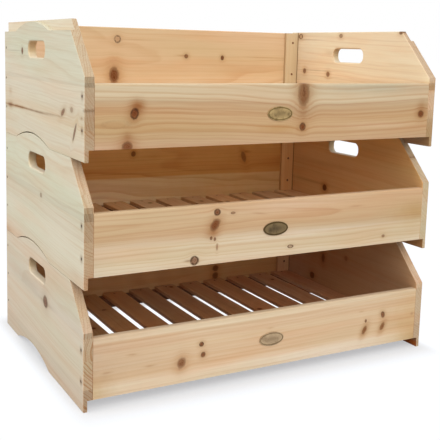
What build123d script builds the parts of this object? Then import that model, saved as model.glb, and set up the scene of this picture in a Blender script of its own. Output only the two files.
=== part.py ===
from build123d import *
import math
import os

# Potato storage bin: a stack of wooden crates with scooped fronts, each lapped over the
# sides of the one below.  All sizes in millimetres.  +X is right, +Y is back, +Z is up.
# The origin is the middle of the footprint, level with the feet of the bottom crate.

# The stack
crate_names = ["bottom", "middle", "top"]
crate_width = 600
crate_depth = 390
stack_pitch = 170.5

# Side panels: a thin outer leaf hangs below, and a thicker inner leaf stands up above
side_thickness = 14
outer_leaf_thickness = 6
lap_height = 16
leaf_side_clearance = 0.5
leaf_top_clearance = 0.5
front_edge_height = 111
slope_depth = 70
edge_ease = 1.2

# Arch in the foot of each outer leaf, and the matching hump on the shoulder below it
arch_span = 175
arch_height = 16
arch_centre_depth = 235
hump_top_clearance = 2.2
hump_end_clearance = 1.5

# Hand hole in each side panel
hand_hole_length = 85
hand_hole_height = 24.5
hand_hole_corner = 11
hand_hole_centre_depth = 211
hand_hole_centre_height = 143
hand_hole_ease = 3

# Front and back boards, held between the side panels
front_board_thickness = 12
front_board_height = 86.5
front_board_round = 3
back_board_thickness = 12
back_board_gap = 2.5
back_board_inset = 3
back_board_round = 1.5

# Vertical laths in the back corners
corner_lath_width = 28
corner_lath_thickness = 6
small_ease = 1

# Slatted floor on two rails
rail_depth = 22
rail_height = 16
slat_count = 11
slat_width = 39
slat_thickness = 6
slat_side_margin = 0.5
slat_end_gap = 1

# Oval plate on the front board
badge_width = 43
badge_height = 21
badge_thickness = 1.2
badge_rim_width = 1.5
badge_groove_width = 0.8
badge_groove_depth = 0.4
badge_centre_height = 59

# Nails
nail_radius = 0.9
nail_head_radius = 2.1
nail_head_thickness = 0.8
nail_head_sink = 0.4
nail_pocket_clearance = 0.2
side_nail_length = 30
lath_nail_length = 14
slat_nail_length = 18
front_nail_setback = 9
front_nail_heights = [41, 85.5]
back_nail_heights = [45, 94, 144]
lath_nail_edge_distance = 12
lath_nail_heights = [58, 103, 165]

# Places worked out from the sizes above, measured in one crate from its feet
inside_half_width = crate_width / 2 - side_thickness
outer_half_width = crate_width / 2
front_face = badge_thickness / 2 - crate_depth / 2
back_face = front_face + crate_depth
shoulder_height = stack_pitch
panel_height = stack_pitch + lap_height - leaf_top_clearance
board_foot = lap_height
front_board_back = front_face + front_board_thickness
back_board_back = back_face - back_board_inset
back_board_front = back_board_back - back_board_thickness
rail_top = board_foot + rail_height
slat_top = rail_top + slat_thickness
slat_pitch = (2 * (inside_half_width - slat_side_margin) - slat_width) / (slat_count - 1)
first_slat_centre = slat_side_margin + slat_width / 2 - inside_half_width
back_board_top = board_foot + stack_pitch - back_board_gap
lath_front = back_board_front - corner_lath_thickness
hump_span = arch_span - 2 * hump_end_clearance
hump_height = arch_height - hump_top_clearance
through_cut = 2 * side_thickness


def block(x_span, y_span, z_span):
    """A rectangular block between the two limits given on each axis."""
    spans = (x_span, y_span, z_span)
    lengths = [high - low for low, high in spans]
    middles = [(high + low) / 2 for low, high in spans]
    return Pos(*middles) * Box(*lengths)


def eased(solid, radius, wanted):
    """The solid with the edges that pass the test rounded."""
    chosen = [edge for edge in solid.edges() if wanted(edge.center())]
    return fillet(chosen, radius)


def is_near(value, target):
    return abs(value - target) < 1e-4


# ---- nails ----


def nail_at(head_point, direction, length):
    """A nail along an axis, its head sunk below the surface point that it is driven at."""
    inward = Vector(*direction)
    top = Vector(*head_point) + inward * nail_head_sink
    seat = Plane(origin=top, z_dir=inward)
    head = extrude(seat * Circle(nail_head_radius), nail_head_thickness)
    shank = extrude(seat * Circle(nail_radius), length - nail_head_sink)
    return head + shank


def nail_pocket(head_point, direction):
    """The round pocket that a sunk nail head sits in."""
    inward = Vector(*direction)
    mouth = Vector(*head_point) - inward * nail_head_sink
    depth = 2 * nail_head_sink + nail_head_thickness
    opening = Plane(origin=mouth, z_dir=inward) * Circle(nail_head_radius + nail_pocket_clearance)
    return extrude(opening, depth)


def side_nails(side):
    """Head points and directions of the nails through one side panel."""
    front_line = front_face + front_nail_setback
    back_line = (back_board_front + back_board_back) / 2
    points = [(front_line, height) for height in front_nail_heights]
    points += [(back_line, height) for height in back_nail_heights]
    return [((side * outer_half_width, y, z), (-side, 0, 0)) for y, z in points]


def lath_nails(side):
    """Head points and directions of the nails through one corner lath."""
    x = side * (inside_half_width - lath_nail_edge_distance)
    return [((x, lath_front, height), (0, 1, 0)) for height in lath_nail_heights]


def slat_nails(centre):
    """Head points and directions of the nails through the two ends of one slat."""
    front_line = front_board_back + rail_depth / 2
    back_line = back_board_front - rail_depth / 2
    return [((centre, y, slat_top), (0, 0, -1)) for y in (front_line, back_line)]


def slat_centres():
    return [first_slat_centre + slat_pitch * step for step in range(slat_count)]


def all_nails():
    """Every nail of one crate."""
    nails = []
    for side in (-1, 1):
        nails += [nail_at(point, way, side_nail_length) for point, way in side_nails(side)]
        nails += [nail_at(point, way, lath_nail_length) for point, way in lath_nails(side)]
    for centre in slat_centres():
        nails += [nail_at(point, way, slat_nail_length) for point, way in slat_nails(centre)]
    return nails


# ---- wooden pieces of one crate ----


def arch_cylinder(span, height, springing_height):
    """A long cylinder across the side panels whose top is an arch that springs at a height."""
    radius = (span**2 / 4 + height**2) / (2 * height)
    centre_height = springing_height + height - radius
    axis_point = Pos(-outer_half_width, front_face + arch_centre_depth, centre_height)
    return axis_point * Rot(0, 90, 0) * Cylinder(radius, through_cut)


def panel_blank():
    """The left side panel as a plain board with a sloped front, its outline eased."""
    outline = Polyline(
        (front_face, 0),
        (back_face, 0),
        (back_face, panel_height),
        (front_face + slope_depth, panel_height),
        (front_face, front_edge_height),
        close=True,
    )
    plane = Plane(origin=(-outer_half_width, 0, 0), x_dir=(0, 1, 0), z_dir=(1, 0, 0))
    board = extrude(plane * make_face(outline), side_thickness)

    def on_a_face_rim(point):
        outer = is_near(point.X, -outer_half_width) and not is_near(point.Z, panel_height)
        inner = is_near(point.X, -inside_half_width) and not is_near(point.Z, 0)
        return outer or inner

    return eased(board, edge_ease, on_a_face_rim)


def hand_hole():
    """A tool that cuts the hand hole through the left side panel."""
    centre = (-outer_half_width, front_face + hand_hole_centre_depth, hand_hole_centre_height)
    plane = Plane(origin=centre, x_dir=(0, 1, 0), z_dir=(1, 0, 0))
    slot = plane * RectangleRounded(hand_hole_length, hand_hole_height, hand_hole_corner)
    return extrude(slot, through_cut, both=True)


def left_side():
    """Left side panel: lapped at top and bottom, with arch, hump and hand hole."""
    depth_span = (front_face - side_thickness, back_face + side_thickness)
    outer_face = -outer_half_width
    leaf_inside = outer_face + outer_leaf_thickness
    lap_wall = leaf_inside + leaf_side_clearance
    beyond = outer_face - side_thickness

    inside = outer_face + through_cut
    bottom_lap = block((leaf_inside, inside), depth_span, (-lap_height, lap_height))
    top_lap = block((beyond, lap_wall), depth_span, (shoulder_height, panel_height + lap_height))
    top_lap -= arch_cylinder(hump_span, hump_height, shoulder_height)
    foot_layer = block((beyond, leaf_inside), depth_span, (-lap_height, shoulder_height))
    foot_arch = arch_cylinder(arch_span, arch_height, 0) & foot_layer

    panel = panel_blank() - bottom_lap - top_lap - foot_arch - hand_hole()

    def on_hand_hole_rim(point):
        on_face = is_near(point.X, outer_face) or is_near(point.X, -inside_half_width)
        along = abs(point.Y - front_face - hand_hole_centre_depth) < hand_hole_length / 2 + 0.01
        across = abs(point.Z - hand_hole_centre_height) < hand_hole_height / 2 + 0.01
        return on_face and along and across

    panel = eased(panel, hand_hole_ease, on_hand_hole_rim)
    for point, way in side_nails(-1):
        panel -= nail_pocket(point, way)
    return panel


def front_board():
    """Low front board, flush with the front edges of the sides and rounded along its top."""
    top = board_foot + front_board_height
    x_span = (-inside_half_width, inside_half_width)
    board = block(x_span, (front_face, front_board_back), (board_foot, top))
    return eased(board, front_board_round, lambda p: is_near(p.Z, top) and is_near(p.X, 0))


def back_board():
    """Tall back board."""
    x_span = (-inside_half_width, inside_half_width)
    board = block(x_span, (back_board_front, back_board_back), (board_foot, back_board_top))
    return eased(board, back_board_round, lambda p: is_near(p.Z, back_board_top) and is_near(p.X, 0))


def rail(front):
    """Rail that carries one end of the slats."""
    x_span = (-inside_half_width, inside_half_width)
    return block(x_span, (front, front + rail_depth), (board_foot, rail_top))


def corner_lath(side):
    """Vertical lath in a back corner, standing on the floor slats."""
    near, far = sorted((side * inside_half_width, side * (inside_half_width - corner_lath_width)))
    lath = block((near, far), (lath_front, back_board_front), (slat_top, back_board_top))
    mid_height = (slat_top + back_board_top) / 2
    lath = eased(lath, small_ease, lambda p: is_near(p.Y, lath_front) and is_near(p.Z, mid_height))
    for point, way in lath_nails(side):
        lath -= nail_pocket(point, way)
    return lath


def slat(centre):
    """One floor slat, nailed to both rails."""
    x_span = (centre - slat_width / 2, centre + slat_width / 2)
    y_span = (front_board_back + slat_end_gap, back_board_front - slat_end_gap)
    board = block(x_span, y_span, (rail_top, slat_top))
    board = eased(board, small_ease, lambda p: is_near(p.Z, slat_top) and not is_near(p.X, centre))
    for point, way in slat_nails(centre):
        board -= nail_pocket(point, way)
    return board


def badge():
    """Plain oval plate with a rim, a groove and a bare middle."""
    back = Plane(origin=(0, front_face, badge_centre_height), x_dir=(1, 0, 0), z_dir=(0, -1, 0))
    plate = extrude(back * Ellipse(badge_width / 2, badge_height / 2), badge_thickness)
    groove_outer = badge_rim_width
    groove_inner = badge_rim_width + badge_groove_width
    outer_oval = Ellipse(badge_width / 2 - groove_outer, badge_height / 2 - groove_outer)
    inner_oval = Ellipse(badge_width / 2 - groove_inner, badge_height / 2 - groove_inner)
    groove_floor = back.offset(badge_thickness - badge_groove_depth)
    return plate - extrude(groove_floor * (outer_oval - inner_oval), badge_thickness)


# ---- the stack ----


def crate_pieces():
    """Every piece of one crate by name, standing on its own feet."""
    left = left_side()
    pieces = {
        "left_side": left,
        "right_side": mirror(left, about=Plane.YZ),
        "front_board": front_board(),
        "back_board": back_board(),
        "front_rail": rail(front_board_back),
        "rear_rail": rail(back_board_front - rail_depth),
        "corner_laths": Compound([corner_lath(-1), corner_lath(1)]),
        "badge": badge(),
        "nails": Compound(all_nails()),
    }
    for number, centre in enumerate(slat_centres(), start=1):
        pieces[f"slat_{number:02d}"] = slat(centre)
    return pieces


def main():
    os.makedirs("parts", exist_ok=True)
    pieces = crate_pieces()
    for level, crate in enumerate(crate_names):
        lift = Pos(0, 0, level * stack_pitch)
        for name, piece in pieces.items():
            export_step(lift * piece, f"parts/{crate}_{name}.step")


main()
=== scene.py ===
import math
import random

import bpy
from mathutils import Matrix, Vector


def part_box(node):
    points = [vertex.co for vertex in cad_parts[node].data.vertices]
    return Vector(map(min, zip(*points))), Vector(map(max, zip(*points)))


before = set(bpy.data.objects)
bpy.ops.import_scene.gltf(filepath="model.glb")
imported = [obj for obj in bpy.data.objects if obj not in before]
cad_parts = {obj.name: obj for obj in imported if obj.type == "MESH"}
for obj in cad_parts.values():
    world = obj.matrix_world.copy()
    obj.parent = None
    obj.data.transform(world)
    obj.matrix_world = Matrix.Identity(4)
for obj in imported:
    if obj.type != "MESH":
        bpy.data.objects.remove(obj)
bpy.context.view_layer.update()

# The looks of a stack of three slatted softwood crates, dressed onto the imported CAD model.
# Places on a board are in millimetres and in its crate's own axes: x to the right, y to the
# back and z up from the crate's feet, with x and y zero in the middle of the crate.

MM = 0.001
CRATES = ("bottom", "middle", "top")
SIDES = ("left", "right")
SLAT_COUNT = 11

stack_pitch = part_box("middle_front_board")[0].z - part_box("bottom_front_board")[0].z


def srgb(red, green, blue):
    """A linear colour with alpha, from the 0 to 255 values that a screen shows."""

    def linear(level):
        share = level / 255
        return share / 12.92 if share <= 0.04045 else ((share + 0.055) / 1.055) ** 2.4

    return (linear(red), linear(green), linear(blue), 1.0)


# ---- node building ----


class Nodes:
    """Adds nodes to a tree. A value for an input is a number, a colour or a socket to join."""

    def __init__(self, tree):
        self.tree = tree

    def put(self, socket, value):
        if isinstance(value, bpy.types.NodeSocket):
            self.tree.links.new(value, socket)
        else:
            socket.default_value = value

    def add(self, kind, inputs=None, **settings):
        """Adds a shader node of a kind, with its settings and then its inputs."""
        node = self.tree.nodes.new("ShaderNode" + kind)
        for key, value in settings.items():
            setattr(node, key, value)
        for key, value in (inputs or {}).items():
            self.put(node.inputs[key], value)
        return node

    def math(self, operation, *values, clamp=False):
        inputs = dict(enumerate(values))
        node = self.add("Math", inputs, operation=operation, use_clamp=clamp)
        return node.outputs[0]

    def plus(self, first, second):
        return self.math("ADD", first, second)

    def minus(self, first, second):
        return self.math("SUBTRACT", first, second)

    def times(self, first, second):
        return self.math("MULTIPLY", first, second)

    def gap(self, first, second):
        return self.math("ABSOLUTE", self.minus(first, second))

    def linear(self, value, slope, start):
        return self.math("MULTIPLY_ADD", value, slope, start)

    def bell(self, value, fade=1.0):
        """1 at zero, and less the further the value is from it, as a bell curve falls."""
        return self.math("EXPONENT", self.times(self.math("POWER", value, 2.0), -fade))

    def spread(self, value, size):
        """A 0 to 1 value turned into one from minus half the size to plus half of it."""
        return self.linear(value, size, -size / 2)

    def vector(self, operation, *values):
        node = self.add("VectorMath", dict(enumerate(values)), operation=operation)
        return node.outputs["Value" if operation in ("LENGTH", "DOT_PRODUCT") else "Vector"]

    def split(self, vector):
        return self.add("SeparateXYZ", {0: vector}).outputs

    def join(self, x, y, z):
        return self.add("CombineXYZ", {0: x, 1: y, 2: z}).outputs[0]

    def mix(self, share, first, second, blend="MIX"):
        settings = {"data_type": "RGBA", "blend_type": blend}
        node = self.add("Mix", {0: share, 6: first, 7: second}, **settings)
        return node.outputs[2]

    def tint(self, share, colour, by):
        """The colour multiplied by another, as far as the share says."""
        return self.mix(share, colour, by, "MULTIPLY")

    def fall(self, value, low, high):
        """A smooth step from 1 to 0 as the value goes from low to high."""
        return self.step(value, low, high, 1.0, 0.0)

    def step(self, value, low, high, low_result=0.0, high_result=1.0):
        """A smooth step from low_result to high_result as the value goes from low to high."""
        inputs = dict(enumerate((value, low, high, low_result, high_result)))
        node = self.add("MapRange", inputs, interpolation_type="SMOOTHSTEP")
        return node.outputs[0]

    def noise(self, point, scale, detail=2.0, roughness=0.5):
        """Noise from 0 to 1. The scale is a number, or three for stretched noise."""
        if not isinstance(scale, (int, float)):
            point = self.vector("MULTIPLY", point, scale)
            scale = 1.0
        inputs = {"Vector": point, "Scale": scale, "Detail": detail, "Roughness": roughness}
        return self.add("TexNoise", inputs).outputs["Fac"]

    def bands(self, height, stops, interpolation="LINEAR"):
        """A ramp through colours at heights in millimetres, for a height in metres."""
        low, high = stops[0][0], stops[-1][0]
        share = self.math("DIVIDE", self.minus(height, low * MM), (high - low) * MM, clamp=True)
        node = self.add("ValToRGB", {0: share})
        ramp = node.color_ramp
        ramp.interpolation = interpolation
        while len(ramp.elements) < len(stops):
            ramp.elements.new(0.5)
        for element, (level, colour) in zip(ramp.elements, stops):
            element.position = (level - low) / (high - low)
            element.color = colour
        return node.outputs["Color"]


def new_group(name, inputs, outputs):
    """An empty node group, its nodes, the sockets that it is given and those that it fills."""
    tree = bpy.data.node_groups.new(name, "ShaderNodeTree")
    for label, kind in inputs.items():
        tree.interface.new_socket(label, in_out="INPUT", socket_type="NodeSocket" + kind)
    for label, kind in outputs.items():
        tree.interface.new_socket(label, in_out="OUTPUT", socket_type="NodeSocket" + kind)
    given = tree.nodes.new("NodeGroupInput").outputs
    results = tree.nodes.new("NodeGroupOutput").inputs
    return tree, Nodes(tree), given, results


def emptied(block):
    """The nodes of a material or world, cleared and ready for new ones."""
    block.use_nodes = True
    block.node_tree.nodes.clear()
    return Nodes(block.node_tree)


def new_material(name):
    """A material, its nodes and its shader, which is joined to the surface."""
    material = bpy.data.materials.new(name)
    nodes = emptied(material)
    shader = nodes.add("BsdfPrincipled")
    nodes.add("OutputMaterial", {"Surface": shader.outputs[0]})
    return material, nodes, shader


# ---- solid wood ----

# Knots: places and fades are shares of a knot's radii
KNOT_PARTS = ("Push", "Core", "Rim", "Glow")
KNOT_NOISE = (190.0, 3.0)
KNOT_RAGGED = 0.6
KNOT_PUSH_REACH = 1.8
KNOT_PUSH = 0.9
KNOT_YEARS = 15.0
KNOT_YEARS_RAGGED = 9.0
KNOT_YEARS_DEPTH = 0.13
KNOT_CORE_FADE = (0.4, 1.42)
KNOT_RIM_PLACE = 0.9
KNOT_RIM_FADE = (0.05, 0.36)
KNOT_RIM_BREAKS = (0.34, 0.54, 0.35, 1.0)
KNOT_GLOW_FADE = 0.26

# Stains, painted light and painted shade: the noise along their edges, and how ragged it makes them
STAIN_AND_LIGHT_NOISE = (60.0, 3.0, 0.6)
STAIN_AND_LIGHT_RAGGED = 0.7

# Grain: scales of noise along, across and through it, and how far the rings wander, in metres
SEED_SHIFT = (1.7, 0.9, 1.3)
WANDER_SCALE = (3.0, 13.0, 13.0)
WANDER = 0.016
WAVER_SCALE = (16.0, 55.0, 55.0)
WAVER = 0.0018
YEAR_CHANGE = 0.45
YEAR_SPREAD = 1.8
LATE_WOOD = (0.42, 0.88)
LATE_STRENGTHS = (0.1, 1.0, 0.4, 1.2)
GRAIN_NOISES = {
    "Fibre": ((14.0, 1000.0, 1000.0), 2.0, 0.6),
    "Streak": ((2.2, 170.0, 90.0), 3.0, 0.6),
    "Cloud": ((4.0, 30.0, 24.0), 3.0, 0.55),
    "Patch": ((2.2, 11.0, 9.0), 2.0, 0.5),
}


def oval_offset(nodes, given):
    """A point's offset from a place, plain and as a share of two radii that may lean."""
    offset = nodes.split(nodes.vector("SUBTRACT", given["Point"], given["Place"]))
    radii = nodes.split(given["Radii"])
    cosine = nodes.math("COSINE", radii[2])
    sine = nodes.math("SINE", radii[2])
    along = nodes.plus(nodes.times(offset[0], cosine), nodes.times(offset[1], sine))
    across = nodes.minus(nodes.times(offset[1], cosine), nodes.times(offset[0], sine))
    shares = (nodes.math("DIVIDE", along, radii[0]), nodes.math("DIVIDE", across, radii[1]))
    return offset, nodes.vector("LENGTH", nodes.join(*shares, 0.0))


def knot_group():
    """One knot. It pushes the grain aside, and adds its core, rim and glow to those given."""
    running = dict.fromkeys(KNOT_PARTS, "Float")
    inputs = {"Point": "Vector", "Place": "Vector", "Radii": "Vector", "Strength": "Vector"}
    tree, nodes, given, results = new_group("knot", {**inputs, **running}, running)

    offset, distance = oval_offset(nodes, given)
    wobble = nodes.noise(nodes.vector("ADD", given["Point"], given["Place"]), *KNOT_NOISE)
    distance = nodes.plus(distance, nodes.spread(wobble, KNOT_RAGGED))

    nearness = nodes.bell(nodes.math("DIVIDE", distance, KNOT_PUSH_REACH))
    push = nodes.times(nodes.times(offset[1], nearness), KNOT_PUSH)
    nodes.put(results["Push"], nodes.plus(given["Push"], push))

    turns = nodes.linear(distance, KNOT_YEARS, nodes.times(wobble, KNOT_YEARS_RAGGED))
    year = nodes.math("SINE", turns)
    uneven = nodes.linear(year, KNOT_YEARS_DEPTH, 1 - KNOT_YEARS_DEPTH)
    core = nodes.times(nodes.fall(distance, *KNOT_CORE_FADE), uneven)
    off_rim = nodes.gap(distance, KNOT_RIM_PLACE)
    broken = nodes.step(wobble, *KNOT_RIM_BREAKS)
    rim = nodes.times(nodes.fall(off_rim, *KNOT_RIM_FADE), broken)
    glow = nodes.bell(distance, KNOT_GLOW_FADE)
    strengths = nodes.split(given["Strength"])
    for label, mask, strength in zip(KNOT_PARTS[1:], (core, rim, glow), strengths):
        nodes.put(results[label], nodes.math("MAXIMUM", given[label], nodes.times(mask, strength)))
    return tree


def stain_and_painted_light_group():
    """A soft oval mark, for stains and for painted light and shade, which tints the colour most at its
    middle.
    """
    inputs = {"Colour": "Color", "Point": "Vector", "Place": "Vector", "Radii": "Vector"}
    inputs.update({"Tint": "Color", "Strength": "Float"})
    tree, nodes, given, results = new_group("stain", inputs, {"Colour": "Color"})
    distance = oval_offset(nodes, given)[1]
    wobble = nodes.noise(given["Point"], *STAIN_AND_LIGHT_NOISE)
    ragged = nodes.plus(distance, nodes.spread(wobble, STAIN_AND_LIGHT_RAGGED))
    share = nodes.times(nodes.bell(ragged), given["Strength"])
    nodes.put(results["Colour"], nodes.tint(share, given["Colour"], given["Tint"]))
    return tree


def grain_group():
    """Growth rings round a pith line, with fibres and broad variation along the grain."""
    inputs = {"Point": "Vector", "Tilt": "Float", "Across": "Float", "Depth": "Float"}
    inputs.update({"Ring Width": "Float", "Seed": "Float"})
    outputs = dict.fromkeys(("Ring", *GRAIN_NOISES), "Float")
    tree, nodes, given, results = new_group("grain", inputs, outputs)

    seed = given["Seed"]
    shift = nodes.vector("MULTIPLY", SEED_SHIFT, nodes.join(seed, seed, seed))
    seeded = nodes.vector("ADD", given["Point"], shift)
    for label, settings in GRAIN_NOISES.items():
        nodes.put(results[label], nodes.noise(seeded, *settings))
    wander = nodes.spread(nodes.noise(seeded, WANDER_SCALE), WANDER)
    waver = nodes.spread(nodes.noise(seeded, WAVER_SCALE), WAVER)

    point = nodes.split(given["Point"])
    pith_depth = nodes.linear(point[0], given["Tilt"], given["Depth"])
    sideways = nodes.minus(point[1], given["Across"])
    away = nodes.join(sideways, nodes.minus(point[2], pith_depth), 0.0)
    radius = nodes.plus(nodes.vector("LENGTH", away), nodes.plus(wander, waver))
    turns = nodes.math("DIVIDE", radius, given["Ring Width"])
    slow = nodes.linear(turns, YEAR_CHANGE, seed)
    uneven = nodes.add("TexNoise", {"W": slow, "Scale": 1.0}, noise_dimensions="1D")
    turns = nodes.linear(uneven.outputs["Fac"], YEAR_SPREAD, turns)
    phase = nodes.math("FRACT", turns)
    year = nodes.plus(nodes.math("FLOOR", turns), seed)
    chance = nodes.add("TexWhiteNoise", {"W": year}, noise_dimensions="1D").outputs["Value"]
    start, peak = LATE_WOOD
    line = nodes.times(nodes.step(phase, start, peak), nodes.fall(phase, peak, 1.0))
    nodes.put(results["Ring"], nodes.times(line, nodes.step(chance, *LATE_STRENGTHS)))
    return tree


knot_tree = knot_group()
stain_and_painted_light_tree = stain_and_painted_light_group()
grain_tree = grain_group()

WHITE = (1.0, 1.0, 1.0, 1.0)

# Tints of the wood, which multiply the colour of a board, among them tints of painted light and shade
LATE_TINT = (0.80, 0.62, 0.48, 1.0)
FIBRE_TINT = (0.88, 0.83, 0.76, 1.0)
STREAK_TINT = (0.93, 0.83, 0.72, 1.0)
PINK_TINT = (1.0, 0.91, 0.86, 1.0)
GREEN_TINT = (0.93, 0.97, 0.93, 1.0)
# The tint of end grain, which also paints shade on the laths' narrow faces
END_GRAIN_AND_SHADE_TINT = (0.68, 0.57, 0.485, 1.0)
PALE_END_TINT = (0.93, 0.82, 0.71, 1.0)
ROSY_END_TINT = (0.98, 0.80, 0.71, 1.0)
SLOPE_TINT = (0.87, 0.72, 0.635, 1.0)
PORE_TINT = (0.80, 0.74, 0.68, 1.0)
# Painted light on the outward faces of a lap's cut, and painted shade on the inward face of the outer
# leaf
LAP_PAINTED_LIGHT = (1.2, 1.12, 1.1, 1.0)
LEAF_PAINTED_SHADE = (0.55, 0.46, 0.42, 1.0)
LINE_TINT = (0.80, 0.65, 0.54, 1.0)
GLOW_TINT = (0.66, 0.45, 0.27, 1.0)
# Painted shade along the corner where a side panel meets the laths
SEAM_PAINTED_SHADE = (0.42, 0.32, 0.22, 1.0)

# The colours of a knot, which cover the board's
KNOT_CORE = srgb(102, 45, 2)
KNOT_RIM = srgb(66, 34, 8)

# Stains and painted light: the warm stain round a knot, which is also painted shade on the
# bottom crate's slats, blue-grey, a deep and a pale tone, painted shade, sap and resin
WARM = (0.66, 0.46, 0.30, 1.0)
GREY = (0.84, 0.88, 0.92, 1.0)
# A deep tone, which is painted shade at the ends of the two lower front boards and across the right of
# the two lower back boards
DEEP_TONE_AND_SHADE = (0.90, 0.81, 0.63, 1.0)
# A pale tone, which is painted light inside the bottom crate's right panel and low on the middle back
# board
PALE_TONE_AND_LIGHT = (1.25, 1.38, 1.80, 1.0)
# Painted shade, which darkens the ends of front boards and the inward faces of right panels
PAINTED_SHADE = (0.86, 0.86, 0.90, 1.0)
SAP = (0.45, 0.34, 0.26, 1.0)
RESIN = (0.62, 0.36, 0.16, 1.0)

# How squarely a face meets an axis, from where it starts to count to where it counts in full
END_TURN = (0.4, 0.7)
SQUARE_END_TURN = (0.85, 0.98)
EDGE_TURN = (0.4, 0.95)
FACE_TURN = (0.5, 0.9)
INWARD_TURN = (0.2, 0.8)

# Tints that follow a noise: where each starts and ends, and its strengths there
NOISE_TINTS = (
    ("Cloud", (0.42, 0.72, 0.0, 1.0), PINK_TINT),
    ("Patch", (0.55, 0.30, 0.0, 1.0), GREEN_TINT),
    ("Streak", (0.48, 0.78, 0.0, 0.6), STREAK_TINT),
)
FIBRE_STEP = (0.35, 0.75, 0.0, 0.4)
PORE_NOISE = (900.0, 2.0, 0.6)
PORE_STEP = (0.45, 0.7)

# How far the bands of a board wander with its two broadest noises, in millimetres
CLOUD_DRIFT = 8
PATCH_DRIFT = 12

# Glued strips: what sets their chance numbers apart, how far their piths stray, in metres, and
# how much of their tone the long faces show
STRIP_LOTS = 531.0
STRIP_STRAY = (0.16, 0.06)
STRIP_SHARE = 0.25

# How much stronger the rings are in a square end, where a look doesn't say, and in a sloping one
END_RINGS = 0.35
SLOPE_RINGS = 0.35

# Single grain lines: the heights between which they lie, in millimetres, how they waver, in
# metres, and where the streaks weaken them
LINES_FROM = -20
LINES_TO = 200
LINE_SCALE = (9.0, 40.0, 40.0)
LINE_WAVER = 3 * MM
LINE_BREAKS = (0.30, 0.55, 0.55, 1.0)

# Where the painted shade of the seam by the laths and the painted light and shade of the lap's
# faces fade. For the walls of a hole: the share of their painted light and shade, and how far
# past the hole it fades, in millimetres
SEAM_FADE = (0.0, 3.5 * MM, 0.9, 0.0)
LAP_FADE = (3 * MM, 4 * MM, 1.0, 0.0)
HOLE_SHARE = 0.85
HOLE_EDGE = 1

# The surface: its roughness, with more for end grain and fibres, its shine and its relief
WOOD_ROUGHNESS = (0.55, 0.2, 0.18)
WOOD_IOR = 1.4
WOOD_SHINE = 0.25
FIBRE_RELIEF = 0.6
RING_RELIEF = -0.4
KNOT_RELIEF = 0.5
WOOD_BUMP = {"Strength": 0.35, "Distance": 0.0004}

# The most that the grain rises and falls along a board, in millimetres
COURSE_SPAN = 40

# Which frame axis runs along the grain, across the face and through the thickness of a board
LENGTHWAYS = (0, 2, 1)
FORE_AND_AFT = (1, 2, 0)
SLATWAYS = (1, 0, 2)
UPRIGHT = (2, 0, 1)


def oval(along, across, wide, tall, lean):
    """The place and radii of an oval on a board, in metres and radians."""
    radii = (wide / 2 * MM, tall / 2 * MM, math.radians(lean))
    return {"Place": (along * MM, across * MM, 0.0), "Radii": radii}


def knot(along, across, wide, tall, core=0.9, rim=0.5, glow=0.6, lean=0.0):
    """A knot: its place and widths in millimetres, its strengths and its lean in degrees."""
    return {**oval(along, across, wide, tall, lean), "Strength": (core, rim, glow)}


def stain(along, across, wide, tall, tint, strength=1.0, lean=0.0):
    """A mark for a stain, painted light and painted shade alike: its place and widths in millimetres, its
    tint and strength, and its lean.
    """
    return {**oval(along, across, wide, tall, lean), "Tint": tint, "Strength": strength}


def add_knots(nodes, flat, knots):
    """The total push, core, rim and glow of the knots at a point of the board's face."""
    totals = dict.fromkeys(KNOT_PARTS, 0.0)
    for one in knots:
        group = nodes.add("Group", {"Point": flat, **one, **totals}, node_tree=knot_tree)
        totals = {key: group.outputs[key] for key in totals}
    return totals


def add_stains(nodes, flat, stains, colour):
    """The colour with the stains, painted light and painted shade of a board's face laid over it."""
    for one in stains:
        inputs = {"Colour": colour, "Point": flat, **one}
        colour = nodes.add("Group", inputs, node_tree=stain_and_painted_light_tree).outputs["Colour"]
    return colour


def grey(level):
    """An opaque grey."""
    return (level, level, level, 1.0)


def shade_stops(bands):
    """Ramp stops from (height, red, green, blue), with the colours as a screen shows them."""
    return [(height, srgb(*shade)) for height, *shade in bands]


def line_stops(lines):
    """Ramp stops for grain lines of (height, half thickness, strength), lowest first."""
    clear = grey(0.0)
    stops = []
    for height, half, strength in sorted(lines):
        stops += [(height - half, clear), (height, grey(strength)), (height + half, clear)]
    return [(LINES_FROM, clear), *stops, (LINES_TO, clear)]


def grain_rise(nodes, along, course):
    """How far the grain has risen at a place along the board, from (place, rise) in millimetres."""
    stops = [(place, grey(0.5 + rise / COURSE_SPAN)) for place, rise in course]
    return nodes.spread(nodes.bands(along, stops, "EASE"), COURSE_SPAN * MM)


def strip_tones(nodes, level, strips):
    """Each glued strip's tone, and three chance numbers that are the same all over a strip."""
    tone = nodes.bands(level, [(edge, grey(shade)) for edge, shade in strips], "CONSTANT")
    lot = nodes.times(tone, STRIP_LOTS)
    chance = nodes.add("TexWhiteNoise", {"W": lot}, noise_dimensions="1D").outputs["Color"]
    return tone, nodes.split(chance)


def inner_colour(nodes, flat, along, banded, look):
    """The colour of the face that looks inwards: its bands with painted light and shade, its stains, and
    painted shade along the seam by the laths.
    """
    _, bands, seam = look["inner"]
    colour = nodes.bands(banded, shade_stops(bands))
    colour = add_stains(nodes, flat, look.get("inner_stains", []), colour)
    # Painted shade along the seam by the laths
    off_seam = nodes.gap(along, seam)
    return nodes.tint(nodes.step(off_seam, *SEAM_FADE), colour, SEAM_PAINTED_SHADE)


def line_strength(nodes, point, height, streak, lines):
    """How strong the single grain lines are at a point."""
    waver = nodes.spread(nodes.noise(point, LINE_SCALE), LINE_WAVER)
    lined = nodes.bands(nodes.plus(height, waver), line_stops(lines))
    return nodes.times(lined, nodes.step(streak, *LINE_BREAKS))


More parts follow.
